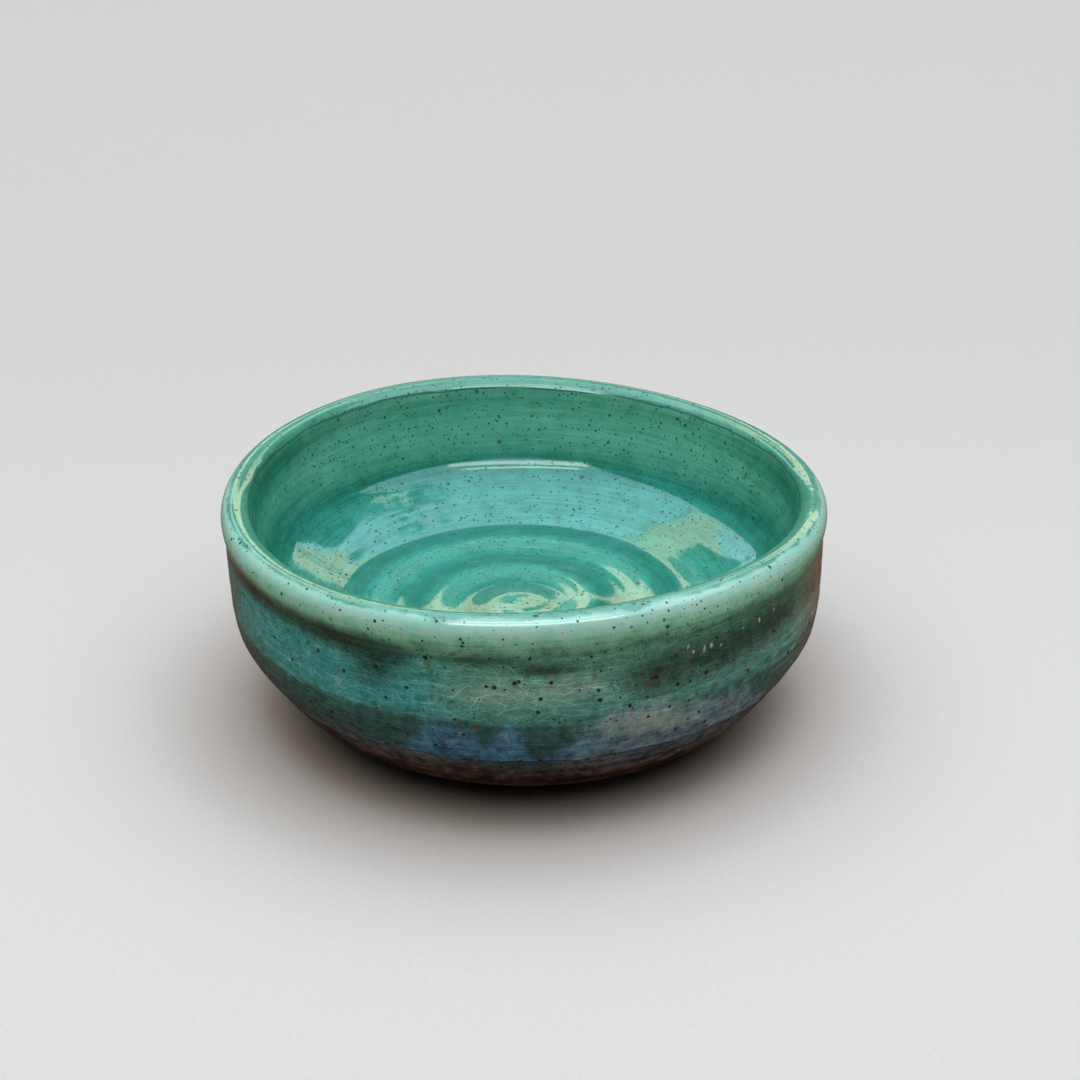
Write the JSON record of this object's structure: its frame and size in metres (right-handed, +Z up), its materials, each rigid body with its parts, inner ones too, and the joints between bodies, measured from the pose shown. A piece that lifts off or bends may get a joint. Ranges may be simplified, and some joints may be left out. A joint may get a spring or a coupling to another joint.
{
  "type": "bowl",
  "caption": "Hand-thrown stoneware bowl with a rounded lip, spiral throwing rings on the floor, a trimmed foot ring and layered glazes.",
  "frame": {"origin": "centre of the foot ring, on the plane that the bowl stands on", "axes": "+Z up through the mouth; the two long sides of the slightly oval rim lie at 48 and 228 degrees from +X; the rim's high side is at -X"},
  "size_m": [0.1496, 0.1504, 0.0601],
  "materials": {
    "stoneware": "matte, bare, iron-rich",
    "liner_glaze": "glossy seafoam, speckled",
    "outer_glaze": "glossy sage, crazed",
    "blue_glaze": "satin slate blue, run into drips"
  },
  "bodies": {
    "root": {"clay_body": "stoneware", "liner_glaze": "liner_glaze", "outer_glaze": "outer_glaze", "blue_glaze": "blue_glaze"}
  },
  "joints": []
}
